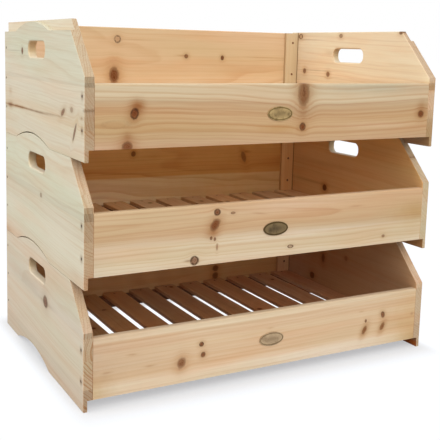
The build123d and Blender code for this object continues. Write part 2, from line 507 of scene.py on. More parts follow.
def hole_walls(nodes, places, facewards, hole):
    """How much a point belongs to the walls of a hand hole."""
    wall = nodes.step(facewards, *FACE_TURN, HOLE_SHARE, 0.0)
    for place, middle, half in zip(places, *hole):
        off = nodes.gap(place, middle * MM)
        wall = nodes.times(wall, nodes.fall(off, half * MM, (half + HOLE_EDGE) * MM))
    return wall


def wood_surface(nodes, shader, ring, fibre, end, core):
    """The roughness and relief of wood. Knots stand out a little, and rings lie low."""
    plain, more_at_end, more_in_fibre = WOOD_ROUGHNESS
    rough = nodes.linear(end, more_at_end, plain)
    nodes.put(shader.inputs["Roughness"], nodes.linear(fibre, more_in_fibre, rough))
    shader.inputs["IOR"].default_value = WOOD_IOR
    shader.inputs["Specular IOR Level"].default_value = WOOD_SHINE
    relief = nodes.linear(fibre, FIBRE_RELIEF, nodes.times(ring, RING_RELIEF))
    relief = nodes.linear(core, KNOT_RELIEF, relief)
    bump = nodes.add("Bump", {"Height": relief, **WOOD_BUMP})
    nodes.put(shader.inputs["Normal"], bump.outputs[0])


def wood(name, axes, origin, look, seed):
    """A board's material.

    The look has bands (colours by height across the face in millimetres) or one shade, pith
    (how fast its depth grows along the board, its place across it and its depth) and rings
    (how far apart in millimetres and how strong). It may have knots, stains
    (stains, painted light and painted shade), lines (single grain lines), course (how the grain
    rises), drift (how far the bands wander), strips (glued strips by their lower edge, each with
    its tone), ends (how much stronger the rings are there), end_tint, sawn (how dark the
    narrow faces are painted, as shade), inner (the side, the bands with painted light and shade
    and the seam with painted shade, of the face that looks inwards),
    inner_stains (on that face alone), hole (its middle and half size),
    hole_bands (painted light and shade on its walls, by height) and lap (the depth of its
    cut faces, with painted light outside and painted shade inside).
    """
    material, nodes, shader = new_material(name)
    coordinates = nodes.add("TexCoord").outputs
    placed = nodes.split(nodes.vector("SUBTRACT", coordinates["Object"], origin))
    along, across, through = [placed[axis] for axis in axes]
    point = nodes.join(along, across, through)
    flat = nodes.join(along, across, 0.0)
    normal = nodes.split(coordinates["Normal"])
    endwards, edgewards, facewards = [nodes.math("ABSOLUTE", normal[axis]) for axis in axes]
    end = nodes.step(endwards, *END_TURN)
    square_end = nodes.step(endwards, *SQUARE_END_TURN)
    sloping = nodes.minus(end, square_end)

    totals = add_knots(nodes, flat, look.get("knots", []))
    rise = totals["Push"]
    if "course" in look:
        rise = nodes.plus(rise, grain_rise(nodes, along, look["course"]))
    pushed = nodes.vector("SUBTRACT", point, nodes.join(0.0, rise, 0.0))
    height = nodes.split(pushed)[1]

    tilt, *pith = look["pith"]
    ring_width, ring_strength = look["rings"]
    if "strips" in look:
        tone, chance = strip_tones(nodes, across, look["strips"])
        places = zip(chance, STRIP_STRAY, pith)
        pith = [nodes.linear(lot, stray, place) for lot, stray, place in places]
    grain_inputs = {
        "Point": pushed,
        "Tilt": tilt,
        "Across": pith[0],
        "Depth": pith[1],
        "Ring Width": ring_width * MM,
        "Seed": seed,
    }
    grain = nodes.add("Group", grain_inputs, node_tree=grain_tree).outputs
    ring, fibre, streak = grain["Ring"], grain["Fibre"], grain["Streak"]

    if "bands" in look:
        wander = look.get("drift", 1.0) * MM
        cloud_drift = nodes.spread(grain["Cloud"], CLOUD_DRIFT * wander)
        patch_drift = nodes.spread(grain["Patch"], PATCH_DRIFT * wander)
        banded = nodes.plus(height, nodes.plus(cloud_drift, patch_drift))
        colour = nodes.bands(banded, shade_stops(look["bands"]))
    else:
        colour = look["shade"]
    if "inner" in look:
        inward = nodes.step(nodes.times(normal[axes[2]], look["inner"][0]), *INWARD_TURN)
        colour = nodes.mix(inward, colour, inner_colour(nodes, flat, along, banded, look))
    if "strips" in look:
        even = nodes.mix(end, nodes.mix(STRIP_SHARE, WHITE, tone), tone)
        colour = nodes.tint(1.0, colour, even)
    for label, rising, tint in NOISE_TINTS:
        colour = nodes.tint(nodes.step(grain[label], *rising), colour, tint)
    strong = nodes.linear(square_end, look.get("ends", END_RINGS), ring_strength)
    strong = nodes.linear(sloping, SLOPE_RINGS, strong)
    colour = nodes.tint(nodes.times(ring, strong), colour, LATE_TINT)
    if "lines" in look:
        lined = line_strength(nodes, point, height, streak, look["lines"])
        colour = nodes.tint(lined, colour, LINE_TINT)
    colour = nodes.tint(nodes.step(fibre, *FIBRE_STEP), colour, FIBRE_TINT)
    colour = nodes.tint(sloping, colour, SLOPE_TINT)
    colour = nodes.tint(square_end, colour, look.get("end_tint", END_GRAIN_AND_SHADE_TINT))
    # Painted shade on the narrow faces
    if "sawn" in look:
        colour = nodes.tint(nodes.step(edgewards, *EDGE_TURN, 0.0, look["sawn"]), colour, END_GRAIN_AND_SHADE_TINT)
    # Painted light on the outward faces of the lap's cut, painted shade on the inward face of the outer
    # leaf
    if "lap" in look:
        depth_off = nodes.gap(through, look["lap"])
        cut = nodes.times(nodes.step(facewards, *FACE_TURN), nodes.step(depth_off, *LAP_FADE))
        colour = nodes.tint(cut, colour, nodes.mix(inward, LAP_PAINTED_LIGHT, LEAF_PAINTED_SHADE))
    pores = nodes.step(nodes.noise(point, *PORE_NOISE), *PORE_STEP)
    colour = nodes.tint(nodes.times(pores, end), colour, PORE_TINT)
    if look.get("knots"):
        colour = nodes.tint(totals["Glow"], colour, GLOW_TINT)
        colour = nodes.mix(totals["Core"], colour, KNOT_CORE)
        colour = nodes.mix(totals["Rim"], colour, KNOT_RIM)
    colour = add_stains(nodes, flat, look.get("stains", []), colour)
    # Painted light and shade on the walls of the hand hole
    if "hole" in look:
        wall = hole_walls(nodes, (along, across), facewards, look["hole"])
        painted_wall_light = nodes.bands(across, shade_stops(look["hole_bands"]))
        colour = nodes.mix(wall, colour, painted_wall_light)
    nodes.put(shader.inputs["Base Color"], colour)
    wood_surface(nodes, shader, ring, fibre, end, totals["Core"])
    return material


def dress(node_name, material):
    """Puts the material on a CAD node."""
    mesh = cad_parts[node_name].data
    mesh.materials.clear()
    mesh.materials.append(material)


# ---- the boards of the three crates ----

# In these tables a band is a height and its colour, a line is a height, half a thickness and a
# strength, and a course is places with how far the grain has risen there. A knot has its place
# along and across, its two widths, and how strong its core, its rim and its glow are.

BOTTOM_FRONT = {
    "bands": [
        (16, 224, 203, 174), (25, 224, 203, 173), (29, 226, 206, 177), (33, 224, 199, 168),
        (38, 218, 190, 156), (45, 215, 185, 150), (62, 215, 186, 152), (72, 216, 190, 156),
        (83, 214, 185, 152), (90, 215, 190, 158), (94, 222, 202, 172), (98, 218, 197, 166),
        (103, 202, 178, 148),
    ],
    "lines": [(41, 2.5, 0.15), (82, 3.0, 0.2), (91, 1.6, 0.25), (24, 1.5, 0.1)],
    "drift": 0.35,
    "pith": (0.00, -0.045, 0.030),
    "rings": (6.5, 0.25),
    "knots": [
        knot(-152, 46, 12, 15, 0.85, 0.2, 0.6, lean=-20),
        knot(-120, 69, 7, 6.5, 1.0, 0.9, 0.5),
        knot(-117, 53, 7, 7.5, 0.95, 0.6, 0.6, lean=-30),
        knot(182, 61, 4, 5, 0.9, 0.7, 0.3),
        knot(180, 46, 7, 14, 0.8, 0.3, 0.9, lean=-28),
        knot(217, 67, 7, 10, 0.9, 0.7, 0.6, lean=15),
        knot(217, 47, 7, 13, 0.75, 0.3, 0.9, lean=-28),
    ],
    "stains": [
        stain(-235, 66, 150, 90, GREY, 0.5),
        stain(-229, 71, 16, 3, WARM, 0.45, lean=-4),
        stain(-202, 50, 16, 3, WARM, 0.5, lean=-2),
        stain(-266, 51, 16, 3, WARM, 0.45),
        stain(-2, 76, 12, 3, WARM, 0.35),
        stain(172, 78, 10, 3, WARM, 0.3),
        stain(280, 60, 6, 5, SAP, 0.35),
        stain(90, 22, 260, 20, PALE_TONE_AND_LIGHT, 0.35),
        # Painted shade at the board's two ends, by the side panels
        stain(285, 40, 110, 120, DEEP_TONE_AND_SHADE, 0.8),
        stain(-292, 55, 70, 140, PAINTED_SHADE, 0.8),
        stain(-292, 26, 60, 50, DEEP_TONE_AND_SHADE, 0.9),
        stain(292, 20, 60, 34, DEEP_TONE_AND_SHADE, 1.0),
        stain(292, 20, 60, 34, PAINTED_SHADE, 0.8),
    ],
}
MIDDLE_FRONT = {
    "bands": [
        (16, 217, 197, 173), (27, 216, 195, 167), (33, 211, 189, 158), (40, 211, 188, 158),
        (48, 214, 194, 165), (54, 209, 186, 158), (60, 201, 172, 140), (68, 200, 167, 131),
        (80, 203, 172, 137), (92, 204, 175, 140), (103, 204, 174, 139),
    ],
    "lines": [
        (32, 1.6, 0.15), (42, 1.6, 0.15), (65, 2.0, 0.2), (68.5, 1.4, 0.2), (84, 1.8, 0.25),
        (97.5, 1.8, 0.25),
    ],
    "course": [(-290, 0), (-50, 0), (160, -5), (290, -6)],
    "drift": 0.3,
    "pith": (0.02, 0.082, 0.012),
    "rings": (6.0, 0.35),
    "knots": [
        knot(-100, 91, 10, 9, 1.0, 0.85, 0.2),
        knot(-103, 73, 12, 18, 0.95, 0.3, 0.7, lean=-35),
        knot(-109, 54, 4, 5, 0.85, 0.6, 0.4),
        knot(-103, 52, 3.5, 5, 0.85, 0.6, 0.4),
        knot(-99, 40, 2.5, 9, 0.6, 0.2, 0.3),
        knot(-135, 24, 12.5, 12.5, 0.85, 0.9, 0.2),
        knot(-74, 88, 7, 3.5, 0.6, 0.6, 0.3),
        knot(28, 29, 10, 5, 0.5, 0.9, 0.2),
        knot(208, 29, 6, 4.5, 0.7, 0.4, 0.3),
    ],
    "stains": [
        stain(-106, 62, 16, 16, WARM, 0.6),
        stain(-144, 24.5, 14, 3, SAP, 0.7),
        stain(-29, 84, 26, 3, WARM, 0.35, lean=-8),
        stain(150, 82, 26, 3, WARM, 0.4),
        # Painted shade at the left end, by the side panel
        stain(-292, 36, 60, 50, PAINTED_SHADE, 0.45),
        stain(40, 48, 300, 9, PALE_TONE_AND_LIGHT, 0.3),
        stain(20, 93, 180, 18, PALE_TONE_AND_LIGHT, 0.25),
        # Painted shade at the right end, by the side panel
        stain(275, 64, 80, 36, DEEP_TONE_AND_SHADE, 0.9),
    ],
}
TOP_FRONT = {
    "bands": [
        (16, 196, 162, 131), (26, 193, 160, 124), (40, 193, 160, 120), (58, 193, 160, 120),
        (72, 190, 162, 126), (78, 190, 166, 133), (83, 203, 184, 153), (103, 202, 184, 153),
    ],
    "lines": [
        (20, 1.8, 0.3), (27, 1.6, 0.15), (35, 2.4, 0.4), (54, 2.4, 0.25), (62, 2.8, 0.6), (68, 2.2, 0.45),
        (76.5, 2.0, 0.35), (93, 2.0, 0.2),
    ],
    "course": [(-290, 3), (-190, 2), (-120, 0), (60, -6), (110, -7), (200, -5), (290, -1)],
    "drift": 0.25,
    "pith": (-0.004, 0.130, 0.030),
    "rings": (6.5, 0.5),
    "knots": [
        knot(-230, 62.5, 11, 14, 1.0, 0.8, 0.8, lean=-12),
        knot(-240, 19, 14, 13, 0.9, 0.4, 0.8),
        knot(-256, 49, 40, 11, 0.0, 0.1, 0.0),
        knot(41, 89, 19, 37, 0.72, 0.25, 0.9),
        knot(41, 39, 10, 11, 1.0, 0.7, 0.7),
        knot(272, 54, 11, 10, 1.0, 0.5, 0.8),
    ],
    "stains": [
        stain(-225, 73, 20, 16, WARM, 0.95),
        stain(-240, 32, 15, 14, WARM, 0.6),
        stain(41, 66, 16, 30, WARM, 0.45),
        stain(41, 92, 4, 24, SAP, 0.6, lean=6),
        stain(273, 66, 18, 20, WARM, 0.5),
        stain(185, 96, 220, 16, GREY, 1.0),
        stain(180, 38, 170, 9, PALE_TONE_AND_LIGHT, 0.35),
        stain(0, 38, 70, 12, DEEP_TONE_AND_SHADE, 0.8),
    ],
}
FRONT_BOARDS = {"bottom": BOTTOM_FRONT, "middle": MIDDLE_FRONT, "top": TOP_FRONT}

BOTTOM_BACK = {
    "bands": [(16, 243, 202, 150), (80, 246, 200, 144), (184, 244, 193, 136)],
    "pith": (0.010, 0.10, 0.28),
    "rings": (4.5, 0.4),
    "knots": [
        knot(114, 59, 12, 11, 0.8, 0.4, 0.8),
        knot(114, 44, 12, 12, 0.8, 0.4, 0.8),
        knot(-60, 120, 11, 12),
        knot(190, 140, 7, 9),
    ],
    # Painted shade across the right of the board
    "stains": [stain(230, 100, 520, 400, DEEP_TONE_AND_SHADE, 0.75)],
}
MIDDLE_BACK = {
    "bands": [(16, 252, 222, 174), (78, 252, 220, 172), (81, 237, 181, 112), (184, 239, 190, 121)],
    "lines": [
        (88, 2, 0.4), (97, 1.6, 0.4), (104, 2, 0.3), (112, 1.6, 0.4), (119, 1.5, 0.3), (127, 2, 0.3),
    ],
    "course": [(-290, 2), (0, 0), (290, -3)],
    "drift": 0.2,
    "pith": (-0.012, 0.13, 0.27),
    "rings": (4.5, 0.5),
    "knots": [knot(-67, 125, 8, 9, 0.8), knot(171, 110, 9, 20, 0.55, 0.3, lean=20)],
    "stains": [
        stain(178, 120, 18, 5, WARM, 0.7),
        # Painted light low on the left of the board
        stain(-170, 46, 300, 60, PALE_TONE_AND_LIGHT, 0.3),
        # Painted shade across the right of the board
        stain(230, 100, 520, 400, DEEP_TONE_AND_SHADE, 1.0),
    ],
}
TOP_BACK = {
    "bands": [
        (16, 226, 190, 148), (94, 226, 198, 159), (99, 222, 191, 149), (112, 218, 190, 150),
        (150, 218, 188, 149), (184, 223, 193, 157),
    ],
    "lines": [
        (107, 2, 0.2), (119, 2.5, 0.2), (134, 2, 0.2), (149, 3, 0.15), (163, 1.6, 0.2), (174, 2, 0.15),
    ],
    "drift": 0.6,
    "pith": (0.014, 0.150, 0.29),
    "rings": (5.0, 0.35),
    "knots": [
        knot(-101, 163, 12, 13, 0.2, 0.68, 0.3),
        knot(-107, 99, 17, 27, 1.0, 0.3, 0.85),
        knot(38, 135, 7, 7, 0.75, 0.8, 0.6),
        knot(116, 133, 6.5, 8, 1.0, 0.8, 0.5),
        knot(-150, 50, 12, 14),
    ],
    "stains": [
        stain(-62, 163, 70, 3, WARM, 0.3),
        stain(-250, 142, 50, 50, PALE_TONE_AND_LIGHT, 0.4),
        stain(30, 136, 26, 3, WARM, 0.5),
        stain(215, 135, 120, 2.5, WARM, 0.4, lean=-1),
        stain(235, 130, 90, 2.5, WARM, 0.35, lean=2),
    ],
}
BACK_BOARDS = {"bottom": BOTTOM_BACK, "middle": MIDDLE_BACK, "top": TOP_BACK}

# The dark marks round the nails near the front of a left side panel
NAIL_PLACE = -185.4
NAIL_HEIGHTS = (41, 85.5)
NAIL_STAINS = [stain(NAIL_PLACE, height, 8, 10, SAP, 0.8) for height in NAIL_HEIGHTS]

# Side panels: their colours, with painted light and shade in the bands of the faces that look inwards,
# the glued strips that show in their ends, and each side's knots
BOTTOM_SIDES = {
    "bands": [
        (0, 200, 187, 167), (40, 201, 187, 167), (80, 203, 191, 171), (112, 203, 191, 173),
        (140, 205, 196, 176), (160, 206, 191, 169), (186, 205, 195, 174),
    ],
    # Painted light and shade of the crate's inside, in the inward face's bands
    "inner_bands": [
        (0, 222, 130, 52), (14, 222, 130, 52), (18, 202, 159, 118), (100, 209, 169, 128),
        (186, 203, 161, 118),
    ],
    "strips": [(0, 1.02), (31, 1.28), (71, 1.25), (103, 1.06), (150, 1.08), (190, 1.0)],
    "ends": 1.25,
    "left": {
        "end_tint": (0.68, 0.59, 0.50, 1.0),
        "knots": [knot(-28, 106, 19, 17, 0.85, 0.7, 0.5, lean=10)],
        "stains": [stain(-30, 105, 70, 6, SAP, 0.35), stain(60, 110, 160, 26, GREY, 0.5), *NAIL_STAINS],
    },
    "right": {
        "strips": [(0, 0.97), (40, 1.04), (103, 1.18), (190, 1.0)],
        "ends": 0.3,
        "end_tint": PALE_END_TINT,
        "knots": [
            knot(60, 92, 9, 16, 0.6, 0.2),
            knot(93, 49, 13, 12, 0.9, 0.6, 0.6),
            knot(-9, 108, 8, 8, 0.3, 0.2, 0.3),
        ],
        # Painted light towards the back of the inward face, painted shade towards its front
        "inner_stains": [stain(175, 80, 130, 240, PALE_TONE_AND_LIGHT, 0.9), stain(-130, 90, 160, 240, PAINTED_SHADE, 0.7)],
    },
}
MIDDLE_SIDES = {
    "bands": [
        (0, 203, 186, 162), (16, 207, 195, 173), (30, 208, 201, 180), (60, 209, 201, 180),
        (90, 207, 197, 176), (130, 211, 206, 185), (186, 209, 202, 180),
    ],
    # Painted light and shade of the crate's inside, in the inward face's bands
    "inner_bands": [(16, 230, 187, 131), (100, 234, 191, 136), (186, 225, 174, 106)],
    "strips": [(0, 1.14), (30, 1.14), (64, 1.04), (92, 0.8), (103, 1.0), (126, 1.02), (190, 1.0)],
    "ends": 0.5,
    "left": {
        "end_tint": (0.67, 0.53, 0.43, 1.0),
        "knots": [knot(-7, 96, 8, 7, 0.55, 0.4, 0.3)],
        "stains": [stain(185, 4, 60, 14, RESIN, 0.25), stain(-165, 14, 70, 16, WARM, 0.2), *NAIL_STAINS],
    },
    "right": {
        "strips": [(0, 1.0), (50, 1.04), (103, 0.97), (190, 1.0)],
        "ends": 0.3,
        "end_tint": PALE_END_TINT,
        "knots": [knot(66, 60, 11, 11, 1.0, 0.8, 0.9), knot(-162, 150, 6, 5)],
        "stains": [stain(110, 66, 130, 6, SAP, 0.35), stain(70, 105, 200, 12, WARM, 0.25)],
    },
}
TOP_SIDES = {
    "bands": [
        (0, 208, 200, 178), (26, 209, 200, 179), (44, 211, 200, 176), (58, 210, 198, 174),
        (80, 209, 200, 179), (112, 212, 205, 184), (186, 209, 204, 184),
    ],
    # Painted light and shade of the crate's inside, in the inward face's bands
    "inner_bands": [(16, 235, 211, 175), (110, 239, 221, 187), (186, 238, 227, 198)],
    "strips": [(0, 1.03), (41, 0.96), (67, 1.04), (97, 0.76), (103, 0.92), (150, 0.96), (190, 1.0)],
    "ends": 0.5,
    "left": {
        "knots": [
            knot(90, 140, 9, 10, 1.0, 0.7, 0.3),
            knot(-109, 59, 17, 7, 0.8, 0.4, 0.5, lean=-30),
            knot(-145, 65, 11, 7, 0.5, 0.2, 0.4),
            knot(-157, 36, 6, 26, 0.85, 0.5, 0.2, lean=30),
            knot(-184, 57, 7, 3, 0.35, 0.1, 0.3),
        ],
        "stains": [
            stain(135, 140, 90, 2, SAP, 0.35),
            stain(163, 50, 40, 12, WARM, 0.8),
            stain(166, 50, 22, 5, SAP, 0.7),
            stain(118, 50.5, 130, 4.6, RESIN, 0.9),
            stain(110, 50.5, 150, 2.4, SAP, 0.9),
            stain(5, 50, 110, 3, SAP, 0.85),
            stain(-65, 52, 90, 2.4, SAP, 0.5),
            stain(161, 73, 18, 13, WARM, 0.35),
            stain(-194, 67.5, 10, 4, SAP, 0.6),
            *NAIL_STAINS,
        ],
    },
    "right": {
        "strips": [(0, 0.78), (45, 0.9), (60, 1.0), (92, 0.75), (103, 0.94), (190, 0.8)],
        "ends": 0.3,
        "end_tint": ROSY_END_TINT,
        "knots": [
            knot(38, 179, 9, 7, 0.6, 0.5, 0.5),
            knot(148, 111, 9, 9, 0.8, 0.5, 0.6),
            knot(72, 107, 9, 9, 0.8, 0.5, 0.6),
            knot(165, 178, 13, 9, 0.3, 0.9, 0.5),
            knot(-122, 184, 8, 6),
        ],
        "stains": [
            stain(110, 113, 110, 2.4, SAP, 0.45),
            stain(150, 172, 100, 2.4, SAP, 0.35),
            stain(70, 148, 30, 9, WARM, 0.3),
            stain(-198, 22, 40, 60, DEEP_TONE_AND_SHADE, 1.0),
            stain(-198, 97, 40, 16, DEEP_TONE_AND_SHADE, 1.0),
        ],
        # Painted shade towards the back of the inward face
        "inner_stains": [stain(165, 120, 110, 160, PAINTED_SHADE, 0.85)],
        "lines": [
            (98, 1.6, 0.4), (104, 1.4, 0.3), (124, 1.6, 0.35), (131, 1.4, 0.25), (166, 1.4, 0.4),
            (174, 1.2, 0.4),
        ],
    },
}
SIDE_PANELS = {"bottom": BOTTOM_SIDES, "middle": MIDDLE_SIDES, "top": TOP_SIDES}

# A hand hole's middle and half size, along and up, with a little room round it
HAND_HOLE = ((16.6, 143.0), (43.5, 13.0))

# The walls of the hand holes: painted light and shade by height, pale at the bottom and darker
# towards the top, and darker still where a crate stands on top
SHADED_HOLE_PAINTED_LIGHT = [
    (131, 232, 218, 192), (137, 226, 208, 174), (141, 206, 183, 147), (147, 186, 162, 126),
    (154, 148, 123, 94),
]
HOLE_PAINTED_LIGHT = {
    "bottom": SHADED_HOLE_PAINTED_LIGHT,
    "middle": SHADED_HOLE_PAINTED_LIGHT,
    "top": [
        (131, 228, 212, 184), (137, 236, 216, 178), (141, 230, 203, 160), (147, 218, 188, 144),
        (154, 190, 158, 120),
    ],
}

# Floor slats: their shade in the crate's left and right halves. Laths: one shade for each crate, the
# bottom crate's lightened as painted light
SLAT_SHADES = {
    "bottom": (srgb(216, 178, 134), srgb(224, 177, 139)),
    "middle": (srgb(233, 198, 152), srgb(225, 185, 138)),
    "top": (srgb(224, 190, 148), srgb(218, 182, 138)),
}
LATH_SHADES = {"bottom": srgb(250, 206, 160), "middle": srgb(244, 200, 140), "top": srgb(214, 192, 156)}
RAIL_SHADE = srgb(132, 92, 66)

# Painted shade: the floor slats of the bottom crate are darker and browner towards the front
SLAT_PAINTED_SHADE = {"bottom": [stain(120, 20, 280, 900, WARM, 0.75)]}

# How much redder than its shade each floor slat is, from left to right, and how light slats are
SLAT_WARMTH = (0.0, -0.04, 0.04, 0.05, -0.04, -0.02, 0.0, 0.04, 0.03, -0.03, 0.0)
SLAT_LEVELS = (0.86, 1.04)

# The small knots of a slat, in millimetres: where they may lie, their widths and their number
SLAT_KNOT_PLACES = ((20, 350), (6, 34))
SLAT_KNOT_WIDTHS = ((4, 10), (5, 9))
SLAT_KNOT_COUNTS = (0, 1, 1, 2)

# Panels and sticks: where their piths may lie, in metres, and their rings' width and strength
PANEL_TILTS = (-0.01, 0.01)
PANEL_PITH = (0.06, 0.08)
PANEL_COURSE = [(-195, -6), (195, 6)]
PANEL_RINGS = (3.8, 0.2)
STICK_PITHS = ((-0.03, 0.03), (-0.03, 0.05), (-0.05, -0.02))
STICK_RING_WIDTH = 3.6
STICK_RING_STRENGTHS = (0.3, 0.5)
# How dark the laths' narrow faces are painted, as shade
LATH_EDGE_SHADE = 0.8
SEEDS = (0, 9)


def dress_side(crate, side, feet, chance):
    """Wood for one side panel, its colours different inside and out, with painted light and shade in
    those of the inside.
    """
    panel = SIDE_PANELS[crate]
    node = f"{crate}_{side}_side"
    low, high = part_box(node)
    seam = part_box(f"{crate}_corner_laths")[0].y
    look = {
        "bands": panel["bands"],
        "inner": (1.0 if side == "left" else -1.0, panel["inner_bands"], seam),
        "pith": (chance.uniform(*PANEL_TILTS), *PANEL_PITH),
        "rings": PANEL_RINGS,
        "ends": panel["ends"],
        "strips": panel["strips"],
        "course": PANEL_COURSE,
        "hole": HAND_HOLE,
        "hole_bands": HOLE_PAINTED_LIGHT[crate],
        "lap": (high.x - low.x) / 2,
        **panel[side],
    }
    seed = chance.uniform(*SEEDS)
    dress(node, wood(node, FORE_AND_AFT, (low.x, 0.0, feet), look, seed))


def dress_stick(node, axes, shade, chance, **extra):
    """Wood for a rail, lath or slat, placed from its lower left front corner."""
    look = {
        "shade": shade,
        "pith": [chance.uniform(*places) for places in STICK_PITHS],
        "rings": (STICK_RING_WIDTH, chance.uniform(*STICK_RING_STRENGTHS)),
        **extra,
    }
    seed = chance.uniform(*SEEDS)
    dress(node, wood(node, axes, tuple(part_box(node)[0]), look, seed))


def slat_shade(crate, number, chance):
    """A slat's shade, between those of the two ends of the floor and a little lighter or darker."""
    left, right = SLAT_SHADES[crate]
    share = (number - 1) / (SLAT_COUNT - 1)
    level = chance.uniform(*SLAT_LEVELS)
    warmth = SLAT_WARMTH[number - 1]
    levels = (level * (1 + warmth / 2), level * (1 - warmth / 2), level * (1 - 2 * warmth))
    mixed = [(one + (other - one) * share) * scale for one, other, scale in zip(left, right, levels)]
    return (*mixed, 1.0)


def slat_knots(chance):
    """A few small knots at chance places of one slat."""
    return [
        knot(*[chance.uniform(*span) for span in (*SLAT_KNOT_PLACES, *SLAT_KNOT_WIDTHS)])
        for _ in range(chance.choice(SLAT_KNOT_COUNTS))
    ]


def dress_crate(crate, level, chance):
    """Wood for every piece of one crate."""
    feet = level * stack_pitch
    for part, boards in (("front_board", FRONT_BOARDS), ("back_board", BACK_BOARDS)):
        node = f"{crate}_{part}"
        origin = (0.0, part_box(node)[0].y, feet)
        dress(node, wood(node, LENGTHWAYS, origin, boards[crate], chance.uniform(*SEEDS)))
    for side in SIDES:
        dress_side(crate, side, feet, chance)
    for part in ("front_rail", "rear_rail"):
        dress_stick(f"{crate}_{part}", LENGTHWAYS, RAIL_SHADE, chance)
    dress_stick(f"{crate}_corner_laths", UPRIGHT, LATH_SHADES[crate], chance, sawn=LATH_EDGE_SHADE)
    stains = SLAT_PAINTED_SHADE.get(crate, [])
    for number in range(1, SLAT_COUNT + 1):
        node = f"{crate}_slat_{number:02d}"
        shade = slat_shade(crate, number, chance)
        knots = slat_knots(chance)
        dress_stick(node, SLATWAYS, shade, chance, knots=knots, stains=stains)


# ---- metal ----

METAL_NOISE = (120.0, 4.0, 0.6)
METAL_PATCHES = (0.38, 0.85)
METAL_BUMP = {"Strength": 0.25, "Distance": 0.0001}
PATCH_ROUGHNESS = 0.2

# Nails: their colours, and a rusty shade for the heads inside the crates
NAIL_SHADES = (srgb(44, 36, 28), srgb(26, 20, 16))
NAIL_ROUGHNESS = 0.6
RUST_SHADE = srgb(128, 84, 48)
RUST_TURN = (0.3, 0.7)
RUST_SHARE = 0.85

# Plates: bright and dull metal, and a line of paint, with its outer and inner edge measured in
# millimetres from the rim
BADGE_SHADES = {
    "bottom": (srgb(186, 160, 126), srgb(126, 103, 76)),
    "middle": (srgb(124, 104, 72), srgb(72, 58, 40)),
    "top": (srgb(180, 153, 105), srgb(106, 86, 54)),
}
BADGE_ROUGHNESS = 0.42
BADGE_METALLIC = 0.85
PAINT_SHADES = {"bottom": srgb(128, 106, 74), "middle": srgb(78, 60, 30), "top": srgb(112, 90, 50)}
PAINT_OUTER = {"bottom": 0.9, "middle": 0.3, "top": 0.9}
PAINT_INNER = 2.4
PAINT_EDGE = (0.97, 1.03)
PAINT_SHARE = 0.85
DULL_INSET = 4.5
DULL_FADE = (0.1, 1.15, 0.6, 0.0)


def metal(name, bright, dark, roughness, metallic):
    """Dull metal with darker, rougher patches. Gives the material, its nodes and its colour."""
    material, nodes, shader = new_material(name)
    coordinates = nodes.add("TexCoord").outputs
    patches = nodes.noise(coordinates["Object"], *METAL_NOISE)
    share = nodes.step(patches, *METAL_PATCHES)
    colour = nodes.mix(share, bright, dark)
    nodes.put(shader.inputs["Base Color"], colour)
    rough = nodes.linear(share, PATCH_ROUGHNESS, roughness)
    nodes.put(shader.inputs["Roughness"], rough)
    shader.inputs["Metallic"].default_value = metallic
    bump = nodes.add("Bump", {"Height": patches, **METAL_BUMP})
    nodes.put(shader.inputs["Normal"], bump.outputs[0])
    return material, nodes, shader, colour


def nail_metal():
    """Steel for the nails: dark heads on the sides, rusty ones inside the crates."""
    material, nodes, shader, colour = metal("nail_steel", *NAIL_SHADES, NAIL_ROUGHNESS, 0.0)
    normal = nodes.split(nodes.add("TexCoord").outputs["Normal"])
    inside = nodes.step(nodes.math("ABSOLUTE", normal[0]), *RUST_TURN, RUST_SHARE, 0.0)
    nodes.put(shader.inputs["Base Color"], nodes.mix(inside, colour, RUST_SHADE))
    return material


def badge_metal(crate):
    """Brass for one oval plate, duller in the middle and with dark paint round its rim."""
    bright, dark = BADGE_SHADES[crate]
    finish = (BADGE_ROUGHNESS, BADGE_METALLIC)
    material, nodes, shader, colour = metal(f"{crate}_brass", bright, dark, *finish)
    low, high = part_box(f"{crate}_badge")
    middle = (low + high) / 2
    half = (high - low) / 2
    place = nodes.add("TexCoord").outputs["Object"]
    offset = nodes.split(nodes.vector("SUBTRACT", place, tuple(middle)))

    def reach(inset):
        """How far out a point is, as a share of the plate's oval drawn in by the inset."""
        x = nodes.math("DIVIDE", offset[0], half.x - inset * MM)
        z = nodes.math("DIVIDE", offset[2], half.z - inset * MM)
        return nodes.vector("LENGTH", nodes.join(x, z, 0.0))

    colour = nodes.mix(nodes.step(reach(DULL_INSET), *DULL_FADE), colour, dark)
    inside = nodes.fall(reach(PAINT_OUTER[crate]), *PAINT_EDGE)
    outside = nodes.step(reach(PAINT_INNER), *PAINT_EDGE)
    painted = nodes.times(nodes.times(inside, outside), PAINT_SHARE)
    nodes.put(shader.inputs["Base Color"], nodes.mix(painted, colour, PAINT_SHADES[crate]))
    return material


chance = random.Random(11)
nail_steel = nail_metal()
for level, crate in enumerate(CRATES):
    dress_crate(crate, level, chance)
    dress(f"{crate}_nails", nail_steel)
    dress(f"{crate}_badge", badge_metal(crate))

# ---- camera ----

CAMERA_PLACE = Vector((-0.6541, -1.1620, 0.4913))
CAMERA_TURN = math.radians(27.76)
CAMERA_DROP = math.radians(7.94)
CAMERA_ROLL = math.radians(1.34)
CAMERA_LENS = 65.43
CAMERA_SENSOR = 36
CAMERA_SHIFT = (0.0666, -0.1372)


